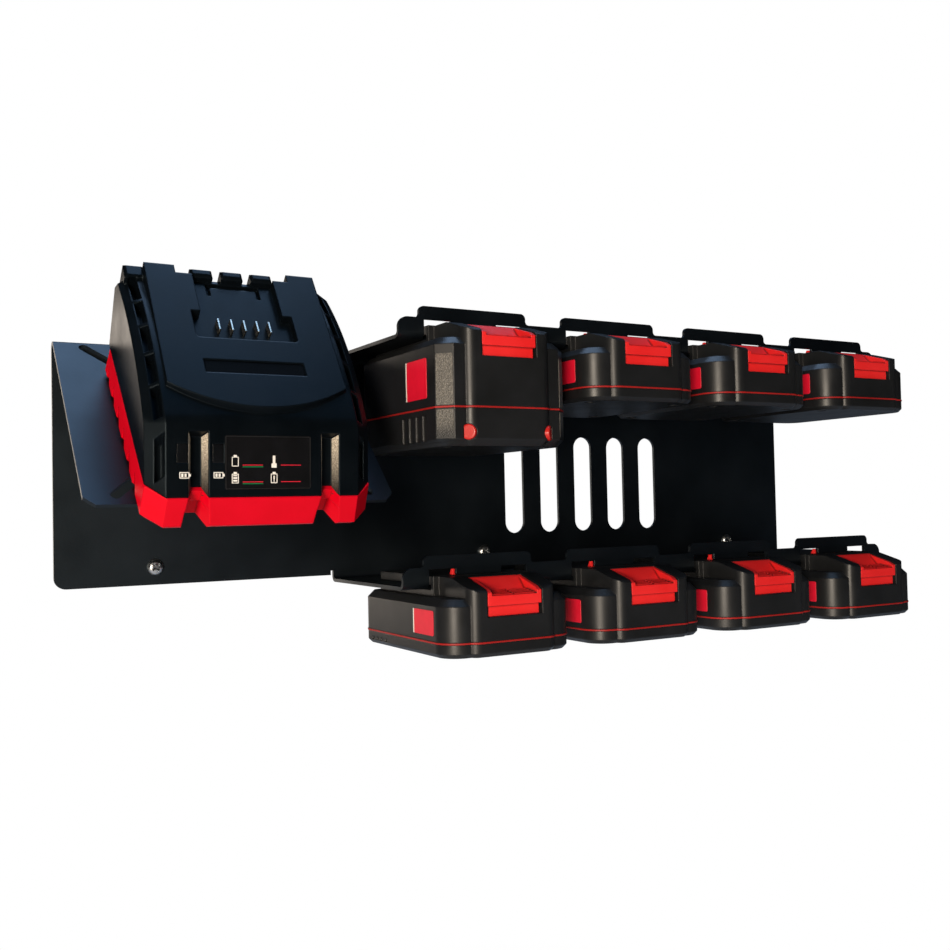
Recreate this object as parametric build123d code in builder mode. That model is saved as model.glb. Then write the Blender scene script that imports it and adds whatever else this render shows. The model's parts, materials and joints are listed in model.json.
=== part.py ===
"""Wall rack for slide-in tool batteries: one bent steel sheet carries eight batteries and a charger.

Millimetres, +Z up. The origin is the centre of the back plate's wall face. +Y points into the wall,
so the front of every piece lies towards -Y. Batteries are drawn once, with their rail seat at the
origin of their own frame, and placed on the stations of the two shelves.
"""
import os
from math import atan, cos, degrees, radians, sin, tan

from build123d import *

# Steel sheet of the rack
sheet = 1.9
bend_inside = 2.0
charger_bay = 152.4
shelf_gap = 127.0
shelf_depth = 94.0
plate_corner = 6.0
relief_width = 1.6
relief_depth = 6.5

# Stations and the strap over each battery
station_pitch = 88.9
stations_per_row = 4
lip_height = 9.2
lip_corner = 5.5
strap_top = 15.2
strap_height = 6.9
strap_leg = 2.9
strap_corner = 3.0
strap_foot = 2.0
window_width = 59.2
rail_grip = 4.3
slot_back = 30.0
slot_corner = 2.5

# Wall screw holes and the row of slots in the back plate
screw_pitch = 203.2
screw_hole = 5.5
screw_level = 53.0
grille_count = 5
grille_width = 14.0
grille_length = 62.0
grille_pitch = 27.0
grille_x = 77.5
grille_z = -11.0

# Sloping plate under the charger
plate_tilt = 45.0
plate_slope = 125.0
plate_center = 64.3
plate_chamfer = 5.0
slant_width = 5.0
slant_length = 38.0
slant_reach = 10.7
slant_turn = 45.0

# Charger outline, measured down the slope from the fold and up from the plate
charger_half = 53.6
side_draft = 0.03
tub_half = 54.4
tub_lean = 0.8
tub_height = 15.6
tub_back = 25.6
tub_front = 143.0
tub_front_lean = 4.8
tub_corner = 8.5
tub_rear_corner = 5.0
tub_edge = 2.5
tub_wall = 2.6
tub_vents = 6
tub_vent_pitch = 15.5
tub_vent_first = 36.0
tub_vent_length = 10.5
tub_vent_height = 9.0
tub_vent_depth = 1.8
shell_front = 137.6
shell_lean = 18.0
shell_lean_height = 49.0
crest = 22.4
crest_height = 54.4
arch = 70.0
arch_height = 52.0
fold = 115.6
fold_height = 39.6
bevel_half = 45.5
bevel_drop = 4.4
bevel_front = 5.0
bevel_rear = 2.0
cavity_half = 44.0
cavity_height = 43.0
cavity_front = 92.0
shell_wall = 4.0

# Deck on the charger, its terminal bay and its vents
deck_half = 43.0
deck_back = 22.2
deck_back_height = 62.0
deck_fall = 0.184
deck_corner = 96.8
deck_bow = 109.6
deck_slab = 32.0
prong_inner = 28.4
prong_reach = 5.0
bay_half = 20.4
bay_end = 55.0
bay_wide_half = 25.0
bay_wide_start = 51.6
bay_wide_end = 68.6
bay_depth = 4.6
bay_corner = 2.0
tongue_half = 13.5
tongue_start = 27.8
tongue_end = 36.0
tongue_slot = 1.8
tongue_top_slot = 2.8
tongue_depth = 2.0
bump_count = 3
bump_width = 11.0
bump_pitch = 15.2
bump_length = 5.0
bump_start = 22.0
bump_drop = 0.8
bump_edge = 1.2
horn_inner = 42.0
horn_outer = 51.5
horn_start = 19.0
horn_end = 27.0
horn_drop = 4.4
name_half = 24.3
name_start = 82.1
name_end = 90.1
name_depth = 0.7
vent_inner = 46.0
vent_width = 3.6
vent_depth = 4.0
vent_first = 26.5
vent_pitch = 17.4
vent_length = 15.4
vents_per_side = 5
front_vent_start = 117.5
front_vent_end = 130.5
groove_center = 31.2
groove_width = 9.2
groove_floor = 4.8
groove_depth = 5.0
groove_top = 13.3
notch_shelf = 9.5
notch_under = 2.0

# Charger blades, lights, board, bolts and cord gland
blade_count = 5
blade_pitch = 6.3
blade_thick = 1.0
blade_start = 55.6
blade_length = 7.0
blade_height = 3.9
light_width = 5.2
light_height = 8.6
light_depth = 1.2
light_inset = 0.3
light_rise = 3.4
light_outer_x = 38.3
light_inner_x = 22.4
board_gap = 7.2
board_length = 86.0
board_thick = 1.6
board_level = 9.5
board_center = 82.0
post_radius = 3.0
post_x = 34.0
post_y = 34.0
coil_center = 68.0
coil_width = 30.0
coil_length = 36.0
coil_height = 24.0
coil_flange = 3.0
coil_flange_over = 3.0
bolt_inset = 15.1
bolt_y = 32.0
bolt_radius = 2.0
bolt_hole_clear = 0.3
bolt_head_radius = 4.6
bolt_head_height = 2.4
bolt_grip = 6.6
nut_across = 7.0
nut_height = 3.2
gland_x = 18.0
gland_radius = 5.0
gland_bore = 3.0
gland_flange = 6.4
gland_flange_thick = 1.6
gland_reach = 4.0
gland_level = 8.0

# Battery case around its own rail seat, whose zero height is the shelf's top face
battery_stop = 94.0
pack_back = 26.5
pack_front = 127.0
front_corner = 12.3
rear_corner = 11.0
block_half = 25.4
block_front = 129.5
block_edge = 6.0
block_top_edge = 1.4
tall_corner = 7.0
pack_wall = 1.8
shoulder = -5.2
shoulder_chamfer = 3.6
case_roof = 3.4
rail_back = 33.0
rail_top = 4.8
rail_side_clear = 0.8
groove_clear = 0.3
neck_clear = 0.5
stop_clear = 0.3
collar_length = 2.7
slope_start = 110.0
slope_top = 4.5
slope_end = -1.4

# Lower part of the two battery kinds
seam_tall = -39.8
floor_tall = -59.0
seam_low = -26.7
floor_low = -34.0
seam_height = 0.9
seam_proud = 0.35
tray_edge_tall = 3.5
tray_edge_low = 2.0
screw_seat = 3.0
screw_seat_depth = 1.0
screw_seat_inset = 8.75
screw_seat_rear = 38.0
screw_seat_front = 114.0
tray_floor = 2.0
rib_count = 4
rib_pitch_tall = 7.6
rib_width_tall = 4.4
rib_pitch_low = 5.2
rib_width_low = 2.6
rib_depth = 0.7
rib_margin = 2.4
rib_start_tall = 85.3
rib_start_low = 42.0

# Release button with its latch arm
button_half = 15.6
button_clear = 0.5
button_rear = 109.5
button_rear_top = 4.2
button_rear_low = -1.6
button_rim_end = 126.5
button_rim_low = -0.8
button_front = 129.3
button_front_top = -2.6
button_front_low = -9.0
button_lip_depth = 3.0
button_under = -6.4
button_under_start = 115.5
scoop_half = 13.2
scoop_start = 111.0
scoop_floor_start = 118.0
scoop_floor = -3.0
scoop_front = -4.2
scoop_clear = 12.0
scoop_ribs = 4
scoop_rib_pitch = 2.4
scoop_rib_width = 0.9
scoop_rib_height = 0.9
scoop_rib_gap = 1.2
skirt_half = 14.8
skirt_set_back = 1.4
skirt_thick = 1.5
skirt_low = -14.2
pocket_low = -14.4
chamber_low = -18.4
front_wall = 1.3
press_travel = 3.2
arm_half = 12.0
arm_low = 0.4
arm_top = 2.8
hook_half = 15.0
hook_front = 91.8
hook_tip = 90.4
hook_back = 88.0
hook_top = 7.8
hook_slot_clear = 0.4
channel_clear = 0.4

# Cells, contacts and bumpers
cell_radius = 9.1
cell_length = 65.0
cell_end_gap = 3.45
cell_pitch = 18.3
cell_count = 5
cell_first = 39.8
cell_seat = 0.1
clip_slot = 3.0
clip_outer = 2.8
clip_thick = 0.4
clip_height = 4.2
clip_length = 10.0
clip_slot_length = 13.0
clip_slot_low = 0.0
clip_inset = 1.5
bumper_radius = 3.9
bumper_proud = 1.0
bumper_depth = 5.0
bumper_level = -52.2
bumper_round = 0.8

pack_width = cell_length + 2 * (cell_end_gap + pack_wall)
screw_seat_x = pack_width / 2 - screw_seat_inset
deck_low = deck_back_height - deck_slab
battery_y = battery_stop - shelf_depth
mid = sheet / 2
bend_mid = bend_inside + mid
row_pitch = shelf_gap + sheet
upper_z = row_pitch / 2
lower_z = -row_pitch / 2
shelf_length = station_pitch * stations_per_row
rack_width = shelf_length + charger_bay
shelf_right = rack_width / 2
shelf_left = shelf_right - shelf_length
lip_mid = shelf_depth - mid
window_top = strap_top - strap_height
strap_half = window_width / 2 + strap_leg
slot_half = window_width / 2 - rail_grip
station_x = [shelf_left + station_pitch * (n + 0.5) for n in range(stations_per_row)]

tub_inside = tub_half - tub_lean - tub_wall - tub_vent_depth
board_width = 2 * (tub_inside - board_gap)
bolt_x = tub_half - bolt_inset
slant_x = bolt_x + slant_reach
slant_y = bolt_y + slant_reach

groove_slope = (groove_width - groove_floor) / 2 / groove_depth
half_fold = radians(plate_tilt) / 2
fold_rise = bend_mid / tan(half_fold) - bend_mid - mid
slope_down = Vector(0, -sin(radians(plate_tilt)), -cos(radians(plate_tilt)))
slope_out = Vector(0, -cos(radians(plate_tilt)), sin(radians(plate_tilt)))
fold_point = Vector(0, -mid, upper_z + fold_rise)
charger_x = shelf_left - charger_bay / 2
charger_foot = Vector(charger_x, 0, 0) + fold_point + slope_out * mid
charger_plane = Plane(origin=charger_foot, x_dir=(1, 0, 0), z_dir=slope_out)
charger_side = Plane(origin=charger_foot, x_dir=-slope_down, z_dir=(1, 0, 0))
gland_foot = charger_foot + Vector(gland_x, 0, 0) + slope_down * tub_back + slope_out * gland_level
gland_plane = Plane(origin=gland_foot, x_dir=(1, 0, 0), z_dir=-slope_down)

os.makedirs("parts", exist_ok=True)


def keep(piece, name):
    """Label a finished piece and write its STEP file."""
    piece.label = name
    export_step(piece, f"parts/{name}.step")


# Rack: back plate with both shelves, then the sloping plate, then every cut
with BuildPart() as rack:
    with BuildSketch(Plane.YZ.offset(shelf_left)):
        with BuildLine():
            FilletPolyline(
                (-lip_mid, upper_z + lip_height / 2),
                (-lip_mid, upper_z - mid),
                (-mid, upper_z - mid),
                (-mid, lower_z - mid),
                (-lip_mid, lower_z - mid),
                (-lip_mid, lower_z + lip_height / 2),
                radius=bend_mid,
            )
        trace(line_width=sheet)
    extrude(amount=shelf_length)

    with BuildSketch(Plane.YZ.offset(-rack_width / 2)):
        with BuildLine():
            FilletPolyline(
                (-mid, lower_z + bend_inside),
                (-mid, fold_point.Z),
                (-mid + slope_down.Y * plate_slope, fold_point.Z + slope_down.Z * plate_slope),
                radius=bend_mid,
            )
        trace(line_width=sheet)
    extrude(amount=charger_bay)
    fillet(rack.edges().filter_by(Axis.Y).group_by(Axis.X)[0].sort_by(Axis.Z)[0], radius=plate_corner)

    # Bend reliefs that part the shelves from the sloping plate and the back plate's left half
    with BuildSketch(Plane.XZ):
        with Locations((shelf_left - relief_width / 2, upper_z)):
            Rectangle(relief_width, 2 * relief_depth)
        with Locations((shelf_left - relief_width / 2, lower_z - sheet)):
            Rectangle(relief_width, 2 * relief_depth)
    extrude(amount=2 * shelf_depth, mode=Mode.SUBTRACT)
    with BuildSketch(Plane.XZ.offset(sheet)):
        with Locations((shelf_left - relief_width / 2, 0)):
            Rectangle(relief_width, 2 * row_pitch)
    extrude(amount=2 * shelf_depth, mode=Mode.SUBTRACT)
    plate_ends = rack.edges().filter_by(Axis(charger_foot, slope_out))
    chamfer(plate_ends, length=plate_chamfer)

    # Lips with a strap tab at each station
    for shelf_top in (upper_z, lower_z):
        with BuildSketch(Plane.XZ.offset(shelf_depth)) as lip:
            with Locations((shelf_left, shelf_top + bend_inside)):
                Rectangle(shelf_length, lip_height - bend_inside, align=(Align.MIN, Align.MIN))
            with Locations(*[(x, shelf_top + bend_inside) for x in station_x]):
                Rectangle(2 * strap_half, strap_top - bend_inside, align=(Align.CENTER, Align.MIN))
            fillet(lip.vertices().group_by(Axis.Y)[-1], radius=strap_corner)
            level = shelf_top + lip_height
            feet = lip.vertices().filter_by(lambda v: abs(v.Y - level) < mid).sort_by(Axis.X)
            fillet(feet[1:-1], radius=strap_foot)
            ends = lip.vertices().filter_by(lambda v: abs(v.Y - level) < mid).sort_by(Axis.X)
            fillet([ends[0], ends[-1]], radius=lip_corner)
        extrude(amount=-sheet)
        with BuildSketch(Plane.XZ.offset(shelf_depth)):
            with Locations(*[(x, shelf_top - sheet) for x in station_x]):
                Rectangle(window_width, sheet + window_top, align=(Align.CENTER, Align.MIN))
        extrude(amount=-(sheet + bend_inside), mode=Mode.SUBTRACT)
        with BuildSketch(Plane.XY.offset(shelf_top)) as seats:
            with Locations(*[(x, -slot_back) for x in station_x]):
                Rectangle(2 * slot_half, lip_mid - slot_back, align=(Align.CENTER, Align.MAX))
            fillet(seats.vertices().group_by(Axis.Y)[-1], radius=slot_corner)
        extrude(amount=-sheet, mode=Mode.SUBTRACT)

    # Holes for the wall screws, the row of slots and the slanted slots under the charger
    with BuildSketch(Plane.XZ):
        with Locations((-screw_pitch, -screw_level), (0, -screw_level), (screw_pitch, -screw_level)):
            Circle(screw_hole / 2)
        with Locations((0, screw_level), (screw_pitch, screw_level)):
            Circle(screw_hole / 2)
        with Locations((grille_x, grille_z)):
            with GridLocations(grille_pitch, grille_length, grille_count, 1):
                SlotOverall(grille_length, grille_width, rotation=90)
    extrude(amount=sheet, mode=Mode.SUBTRACT)
    with BuildSketch(charger_plane):
        for side in (-1, 1):
            with Locations((side * slant_x, slant_y - plate_center)):
                SlotOverall(slant_length, slant_width, rotation=side * slant_turn)
            with Locations((side * slant_x, -slant_y - plate_center)):
                SlotOverall(slant_length, slant_width, rotation=-side * slant_turn)
    extrude(amount=-sheet, mode=Mode.SUBTRACT)
keep(rack.part, "rack")


def tub_plan(lean, front_lean):
    """Plan of the tub with its cut corners, drawn smaller towards the top."""
    with BuildSketch(Plane.XY, mode=Mode.PRIVATE) as plan:
        with Locations((0, -tub_front + front_lean)):
            Rectangle(
                2 * (tub_half - lean),
                tub_front - front_lean - tub_back,
                align=(Align.CENTER, Align.MIN),
            )
        chamfer(plan.vertices().group_by(Axis.Y)[0], length=tub_corner)
        chamfer(plan.vertices().group_by(Axis.Y)[-1], length=tub_rear_corner)
    return plan.sketch


def notch_plan(middle, depth):
    """Plan of a front notch with sloping walls, narrowing inwards."""
    floor = groove_floor / 2
    mouth = floor + groove_slope * (groove_depth + tub_front_lean)
    with BuildSketch(Plane.XY, mode=Mode.PRIVATE) as plan:
        with BuildLine():
            Polyline(
                (middle - mouth, -tub_front),
                (middle - floor, depth - tub_front),
                (middle + floor, depth - tub_front),
                (middle + mouth, -tub_front),
                close=True,
            )
        make_face()
    return plan.sketch


# Charger base: a leaning tub with posts for the board, bolt holes, side vents and front notches
with BuildPart() as charger_base:
    with BuildSketch(charger_plane):
        add(tub_plan(0, 0))
    with BuildSketch(charger_plane.offset(tub_height)):
        add(tub_plan(tub_lean, tub_front_lean))
    loft(ruled=True)
    outward = Axis(charger_foot, slope_out)
    floor_face = charger_base.faces().filter_by(outward).sort_by(outward)[0]
    chamfer(floor_face.edges(), length=tub_edge)
    with BuildSketch(charger_plane.offset(tub_wall)):
        with Locations((0, -tub_front + tub_corner + tub_front_lean)):
            Rectangle(
                2 * tub_inside,
                tub_front - tub_back - tub_corner - tub_front_lean - tub_wall,
                align=(Align.CENTER, Align.MIN),
            )
    extrude(amount=tub_height, mode=Mode.SUBTRACT)
    with BuildSketch(charger_plane.offset(tub_wall)):
        with Locations((0, -board_center)):
            with GridLocations(2 * post_x, 2 * post_y, 2, 2):
                Circle(post_radius)
    extrude(amount=board_level - tub_wall)
    with BuildSketch(charger_plane):
        with Locations((0, -plate_center)):
            with GridLocations(2 * bolt_x, 2 * bolt_y, 2, 2):
                Circle(bolt_radius + bolt_hole_clear)
        for side in (-1, 1):
            add(notch_plan(side * groove_center, groove_depth + tub_front_lean))
    extrude(amount=tub_height, mode=Mode.SUBTRACT)
    with BuildSketch(charger_plane):
        for side in (-1, 1):
            add(notch_plan(side * groove_center, groove_depth + tub_front_lean + notch_under))
    extrude(amount=notch_shelf, mode=Mode.SUBTRACT)
    for side in (-1, 1):
        with BuildSketch(charger_side.offset(side * tub_half)):
            for n in range(tub_vents):
                start = -(tub_vent_first + n * tub_vent_pitch)
                with BuildLine():
                    Polyline((start, 0), (start - tub_vent_length, 0), (start, tub_vent_height), close=True)
                make_face()
        extrude(amount=-side * tub_vent_depth, mode=Mode.SUBTRACT)
    with BuildSketch(gland_plane):
        Circle(gland_radius)
    extrude(amount=-2 * tub_wall, mode=Mode.SUBTRACT)
keep(charger_base.part, "charger_base")


def shell_profile(drop, set_back, rear):
    """Side view of the top shell: rear lean, crest, arch and label face."""
    run = (shell_front - fold) / (fold_height - tub_height)
    foot = fold - set_back + (fold_height - drop - tub_height) * run
    lean = (-(shell_lean + rear), shell_lean_height - drop)
    top = (-(crest + rear), crest_height - drop)
    edge = (-(fold - set_back), fold_height - drop)
    with BuildSketch(Plane.XY, mode=Mode.PRIVATE) as view:
        with BuildLine():
            Polyline(edge, (-foot, tub_height), (-(tub_back + rear), tub_height), lean, top)
            ThreePointArc(top, (-arch, arch_height - drop), edge)
        make_face()
    return view.sketch


def deck_region(drop):
    """Side view of everything under the deck's top plane, lowered by a depth."""
    rear = -deck_back + prong_reach
    with BuildSketch(Plane.XY, mode=Mode.PRIVATE) as view:
        with BuildLine():
            Polyline(
                (rear, deck_low),
                (rear, deck_back_height + deck_fall * prong_reach - drop),
                (-deck_bow, deck_back_height - deck_fall * (deck_bow - deck_back) - drop),
                (-deck_bow, deck_low),
                close=True,
            )
        make_face()
    return view.sketch


# Deck slab: its outline from above, cut off by the sloping deck plane
with BuildPart() as deck:
    with BuildSketch(charger_plane.offset(deck_low)):
        with BuildLine():
            Polyline(
                (-deck_half, -deck_corner),
                (-deck_half, -deck_back),
                (-prong_inner, -deck_back),
                (-prong_inner, -deck_back - prong_reach),
                (prong_inner, -deck_back - prong_reach),
                (prong_inner, -deck_back),
                (deck_half, -deck_back),
                (deck_half, -deck_corner),
            )
            ThreePointArc((deck_half, -deck_corner), (0, -deck_bow), (-deck_half, -deck_corner))
        make_face()
    extrude(amount=deck_back_height)
    with BuildSketch(charger_side):
        add(deck_region(0))
    extrude(amount=deck_half, both=True, mode=Mode.INTERSECT)

# Terminal bay and bare name recess, sunk from the deck plane
with BuildPart() as bay:
    with BuildSketch(charger_plane.offset(deck_low)) as bay_plan:
        with Locations((0, -bay_end)):
            Rectangle(2 * bay_half, bay_end - deck_back + prong_reach, align=(Align.CENTER, Align.MIN))
        with Locations((0, -bay_wide_end)):
            Rectangle(2 * bay_wide_half, bay_wide_end - bay_wide_start, align=(Align.CENTER, Align.MIN))
        fillet(bay_plan.vertices().group_by(Axis.Y)[0], radius=bay_corner)
    extrude(amount=deck_back_height)
    with BuildSketch(charger_side):
        add(deck_region(bay_depth))
    extrude(amount=deck_half, both=True, mode=Mode.SUBTRACT)

# Slot round three sides of a springy tongue in the bay's floor
with BuildPart() as tongue:
    with BuildSketch(charger_plane.offset(deck_low)):
        with Locations((0, -tongue_end)):
            Rectangle(2 * tongue_half, tongue_end - tongue_start, align=(Align.CENTER, Align.MIN))
            Rectangle(
                2 * (tongue_half - tongue_slot),
                tongue_end - tongue_start - tongue_top_slot,
                align=(Align.CENTER, Align.MIN),
                mode=Mode.SUBTRACT,
            )
    extrude(amount=deck_back_height)
    with BuildSketch(charger_side):
        add(deck_region(bay_depth + tongue_depth))
    extrude(amount=deck_half, both=True, mode=Mode.SUBTRACT)

# Row of bumps along the shell's rear edge
with BuildPart() as bumps:
    with BuildSketch(charger_plane.offset(deck_low)):
        with Locations((0, -bump_start - bump_length / 2)):
            with GridLocations(bump_pitch, bump_length, bump_count, 1):
                Rectangle(bump_width, bump_length)
    extrude(amount=deck_back_height)
    with BuildSketch(charger_side):
        add(deck_region(bump_drop))
    extrude(amount=deck_half, both=True, mode=Mode.INTERSECT)
    bump_tops = bumps.faces().filter_by(lambda f: f.normal_at().dot(slope_out) > cos(half_fold))
    chamfer(bump_tops.edges(), length=bump_edge)

# Horn behind the left vents, outside the deck's prong
with BuildPart() as horn:
    with BuildSketch(charger_plane.offset(deck_low)):
        with Locations((-(horn_inner + horn_outer) / 2, -(horn_start + horn_end) / 2)):
            Rectangle(horn_outer - horn_inner, horn_end - horn_start)
    extrude(amount=deck_back_height)
    with BuildSketch(charger_side):
        add(deck_region(horn_drop))
    extrude(amount=horn_outer, both=True, mode=Mode.INTERSECT)
    horn_top = horn.faces().filter_by(lambda f: f.normal_at().dot(slope_out) > cos(half_fold))
    chamfer(horn_top.edges(), length=bump_edge)

with BuildPart() as name_recess:
    with BuildSketch(charger_plane.offset(deck_low)):
        with Locations((0, -name_end)):
            Rectangle(2 * name_half, name_end - name_start, align=(Align.CENTER, Align.MIN))
    extrude(amount=deck_back_height)
    with BuildSketch(charger_side):
        add(deck_region(name_depth))
    extrude(amount=deck_half, both=True, mode=Mode.SUBTRACT)

# Vents in the bevel, kept to a constant depth under the arch
with BuildPart() as vents:
    with BuildSketch(charger_plane.offset(tub_height)):
        for side in (-1, 1):
            for n in range(vents_per_side):
                with Locations((side * (vent_inner + vent_width / 2), -(vent_first + n * vent_pitch))):
                    Rectangle(vent_width, vent_length, align=(Align.CENTER, Align.MAX))
            with Locations((side * (vent_inner + vent_width / 2), -front_vent_end)):
                Rectangle(vent_width, front_vent_end - front_vent_start, align=(Align.CENTER, Align.MIN))
    extrude(amount=deck_back_height)
    with BuildSketch(Plane(charger_foot - slope_out * vent_depth, x_dir=-slope_down, z_dir=(1, 0, 0))):
        add(shell_profile(bevel_drop / 2, bevel_front / 2, 0))
    extrude(amount=tub_half, both=True, mode=Mode.SUBTRACT)

label_run = Vector(0, 0, 0) - slope_down * (shell_front - fold) + slope_out * (fold_height - tub_height)
label_mid = charger_foot + slope_down * (shell_front + fold) / 2 + slope_out * (fold_height + tub_height) / 2
label_plane = Plane(origin=label_mid, x_dir=(1, 0, 0), z_dir=Vector(1, 0, 0).cross(label_run))
label_inward = Plane(origin=label_mid, x_dir=(1, 0, 0), z_dir=-label_plane.z_dir)
light_spots = [(-light_outer_x, light_rise), (-light_inner_x, light_rise)]

with BuildPart() as charger_top_shell:
    with BuildSketch(charger_side):
        add(shell_profile(0, 0, 0))
    extrude(amount=bevel_half, both=True)
    for side in (-1, 1):
        with BuildSketch(charger_side.offset(side * bevel_half)):
            add(shell_profile(0, 0, 0))
        with BuildSketch(charger_side.offset(side * charger_half)):
            add(shell_profile(bevel_drop, bevel_front, bevel_rear))
        loft(ruled=True)
        rise = deck_back_height - tub_height
        with BuildSketch(Plane(charger_foot, x_dir=(1, 0, 0), z_dir=slope_down)):
            with BuildLine():
                Polyline(
                    (side * charger_half, -tub_height),
                    (side * (charger_half - side_draft * rise), -deck_back_height),
                    (side * tub_half, -deck_back_height),
                    (side * tub_half, -tub_height),
                    close=True,
                )
            make_face()
        extrude(amount=tub_front, mode=Mode.SUBTRACT)
    add(deck.part)
    add(bay.part, mode=Mode.SUBTRACT)
    add(tongue.part, mode=Mode.SUBTRACT)
    add(bumps.part)
    add(horn.part)
    add(name_recess.part, mode=Mode.SUBTRACT)
    add(vents.part, mode=Mode.SUBTRACT)
    with BuildSketch(charger_side):
        with BuildLine():
            Polyline(
                (-(tub_back + shell_wall), tub_height),
                (-(shell_lean + 2 * shell_wall), cavity_height),
                (-cavity_front, cavity_height - shell_wall),
                (-(shell_front - 2 * shell_wall - groove_depth), tub_height),
                close=True,
            )
        make_face()
    extrude(amount=cavity_half, both=True, mode=Mode.SUBTRACT)
    with BuildSketch(label_inward):
        with Locations((-groove_center, -groove_top), (groove_center, -groove_top)):
            Rectangle(groove_width, 2 * label_run.length, align=(Align.CENTER, Align.MIN))
    extrude(amount=groove_depth, taper=degrees(atan(groove_slope)), mode=Mode.SUBTRACT)
    with BuildSketch(label_plane):
        with Locations(*light_spots):
            Rectangle(light_width, light_height)
    extrude(amount=-light_depth, mode=Mode.SUBTRACT)
keep(charger_top_shell.part, "charger_top_shell")

with BuildPart() as charger_light_windows:
    with BuildSketch(label_plane.offset(-light_depth)):
        with Locations(*light_spots):
            Rectangle(light_width, light_height)
    extrude(amount=light_depth - light_inset)
keep(charger_light_windows.part, "charger_light_windows")

deck_turn = Vector(0, 0, 0) - slope_down - slope_out * -deck_fall
bay_foot = charger_foot + slope_out * (deck_back_height + deck_fall * deck_back - bay_depth)
bay_plane = Plane(origin=bay_foot, x_dir=(1, 0, 0), z_dir=Vector(1, 0, 0).cross(deck_turn))
with BuildPart() as charger_terminal_blades:
    with BuildSketch(bay_plane):
        with Locations((0, -(blade_start + blade_length / 2))):
            with GridLocations(blade_pitch, blade_length, blade_count, 1):
                Rectangle(blade_thick, blade_length)
    extrude(amount=blade_height)
keep(charger_terminal_blades.part, "charger_terminal_blades")

with BuildPart() as charger_circuit_board:
    with BuildSketch(charger_plane.offset(board_level)):
        with Locations((0, -board_center)):
            Rectangle(board_width, board_length)
        with Locations((0, -plate_center)):
            with GridLocations(2 * bolt_x, 2 * bolt_y, 2, 2):
                Circle(nut_across, mode=Mode.SUBTRACT)
    extrude(amount=board_thick)
keep(charger_circuit_board.part, "charger_circuit_board")

with BuildPart() as charger_transformer:
    with BuildSketch(charger_plane.offset(board_level + board_thick)):
        with Locations((0, -coil_center)):
            Rectangle(coil_width, coil_length)
    extrude(amount=coil_height)
    with BuildSketch(charger_plane.offset(board_level + board_thick + coil_flange_over)):
        with Locations((0, -coil_center)):
            with GridLocations(2 * coil_width, coil_length - coil_flange, 1, 2):
                Rectangle(coil_width + 2 * coil_flange_over, coil_flange)
    extrude(amount=coil_height - 2 * coil_flange_over)
keep(charger_transformer.part, "charger_transformer")

with BuildPart() as charger_mount_bolts:
    with BuildSketch(charger_plane.offset(-sheet)) as heads:
        with Locations((0, -plate_center)):
            with GridLocations(2 * bolt_x, 2 * bolt_y, 2, 2):
                Circle(bolt_head_radius)
    extrude(amount=-bolt_head_height)
    with BuildSketch(charger_plane.offset(-sheet)) as shanks:
        with Locations((0, -plate_center)):
            with GridLocations(2 * bolt_x, 2 * bolt_y, 2, 2):
                Circle(bolt_radius)
    extrude(amount=sheet + bolt_grip)
keep(charger_mount_bolts.part, "charger_mount_bolts")

with BuildPart() as charger_mount_nuts:
    with BuildSketch(charger_plane.offset(tub_wall)):
        with Locations((0, -plate_center)):
            with GridLocations(2 * bolt_x, 2 * bolt_y, 2, 2):
                RegularPolygon(nut_across / 2, 6, major_radius=False)
                Circle(bolt_radius, mode=Mode.SUBTRACT)
    extrude(amount=nut_height)
keep(charger_mount_nuts.part, "charger_mount_nuts")

with BuildPart() as charger_cord_gland:
    with BuildSketch(gland_plane):
        Circle(gland_radius)
    extrude(amount=-2 * tub_wall)
    with BuildSketch(gland_plane):
        Circle(gland_flange)
    extrude(amount=gland_flange_thick)
    with BuildSketch(gland_plane.offset(gland_flange_thick)):
        Circle(gland_radius)
    extrude(amount=gland_reach)
    with BuildSketch(gland_plane.offset(gland_flange_thick + gland_reach)):
        Circle(gland_bore)
    extrude(amount=-(gland_flange_thick + gland_reach + 2 * tub_wall), mode=Mode.SUBTRACT)
keep(charger_cord_gland.part, "charger_cord_gland")


def body_outline(inset, tall):
    """Plan of the battery's body, drawn a wall thickness smaller where asked."""
    with BuildSketch(Plane.XY, mode=Mode.PRIVATE) as plan:
        with Locations((0, -pack_front + inset)):
            Rectangle(
                pack_width - 2 * inset,
                pack_front - pack_back - 2 * inset,
                align=(Align.CENTER, Align.MIN),
            )
        if tall:
            cut = tall_corner - 2 * inset * (1 - cos(radians(45)))
            chamfer(plan.vertices().group_by(Axis.Y)[0], length=cut)
        else:
            fillet(plan.vertices().group_by(Axis.Y)[0], radius=front_corner - inset)
        fillet(plan.vertices().group_by(Axis.Y)[-1], radius=rear_corner - inset)
    return plan.sketch


def block_outline(grow):
    """Plan of the proud block at the front, with its rounded front edges."""
    with BuildSketch(Plane.XY, mode=Mode.PRIVATE) as plan:
        with Locations((0, -block_front - grow)):
            Rectangle(2 * (block_half + grow), block_front - collar_back, align=(Align.CENTER, Align.MIN))
        fillet(plan.vertices().group_by(Axis.Y)[0], radius=block_edge)
    return plan.sketch


rail_half = window_width / 2 - rail_side_clear
neck_half = slot_half - neck_clear
collar_back = battery_stop + stop_clear
collar_front = collar_back + collar_length
pocket_half = button_half + button_clear
chamber_front = block_front - front_wall


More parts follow.
